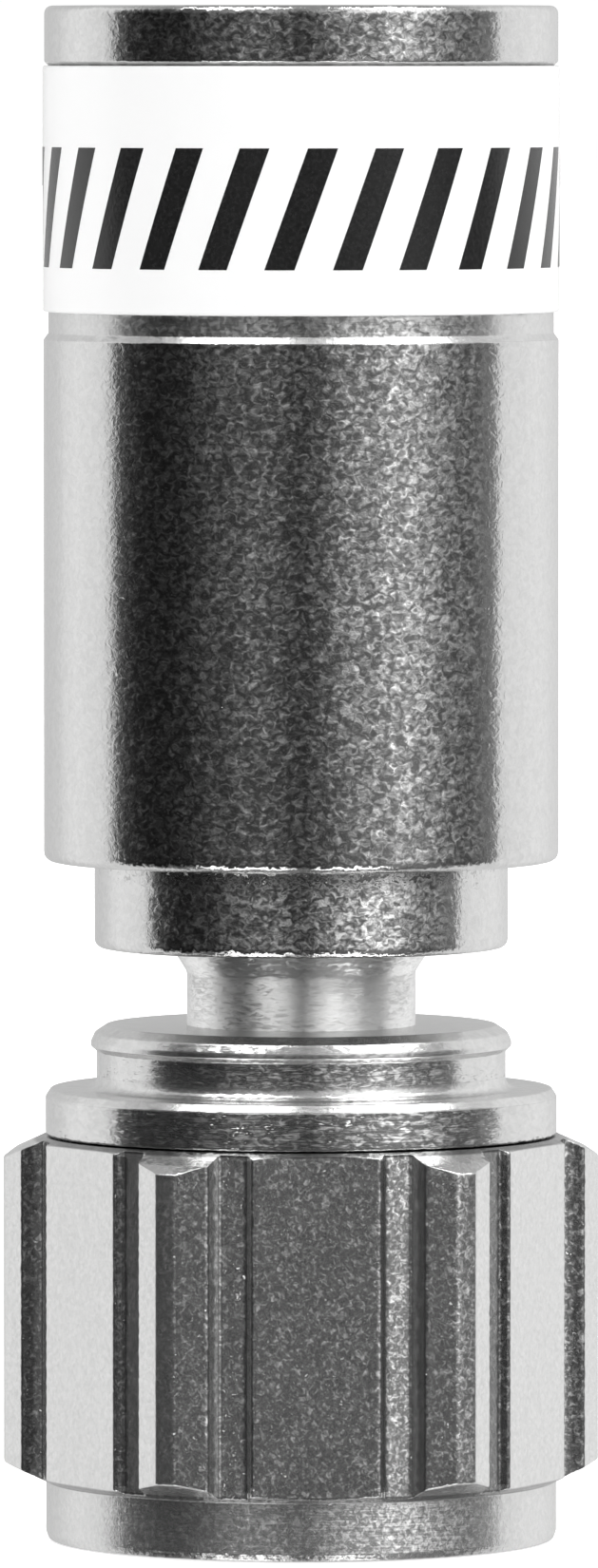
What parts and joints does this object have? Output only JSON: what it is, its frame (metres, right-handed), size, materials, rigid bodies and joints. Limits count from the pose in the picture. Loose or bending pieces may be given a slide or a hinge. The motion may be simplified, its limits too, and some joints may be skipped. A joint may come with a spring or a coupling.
{
  "type": "coaxial cable connector",
  "caption": "Screw-on coaxial cable plug with a grooved hexagonal coupling nut, a necked body and a sliding compression sleeve that carries a marking ring.",
  "frame": {"origin": "centre of the coupling nut's mating face, on the plug's axis, at the bottom of the bounding box", "axes": "+Z along the plug's axis towards the cable entry; the front faces -Y; +X is to the viewer's right"},
  "size_m": [0.0124, 0.0114, 0.0321],
  "materials": {
    "nickel_nut": "bright nickel plate over brass",
    "nickel_post": "satin nickel plate over brass",
    "nickel_collar": "bright nickel plate over brass",
    "nickel_body": "bright nickel plate over brass",
    "nickel_sleeve": "bright nickel plate over brass",
    "spring_bronze": "phosphor bronze strip",
    "seal_rubber": "matt black rubber",
    "wedge_plastic": "natural acetal",
    "label_white": "smooth white plastic"
  },
  "bodies": {
    "plug_body": {"post": "nickel_post", "flange_collar": "nickel_collar", "body_tube": "nickel_body", "ground_spring": "spring_bronze"},
    "nut": {"coupling_nut": "nickel_nut", "nut_seal": "seal_rubber"},
    "sleeve": {"compression_sleeve": "nickel_sleeve", "wedge_ring": "wedge_plastic", "cable_seal": "seal_rubber", "label_ring": "label_white"}
  },
  "joints": [
    {"name": "nut_spin", "type": "hinge", "parent": "plug_body", "child": "nut", "pos_m": [0, 0, 0.0042], "axis": [0, 0, 1], "continuous": true},
    {"name": "sleeve_slide", "type": "slide", "parent": "plug_body", "child": "sleeve", "axis": [0, 0, -1], "range_m": [0, 0.0047]}
  ]
}
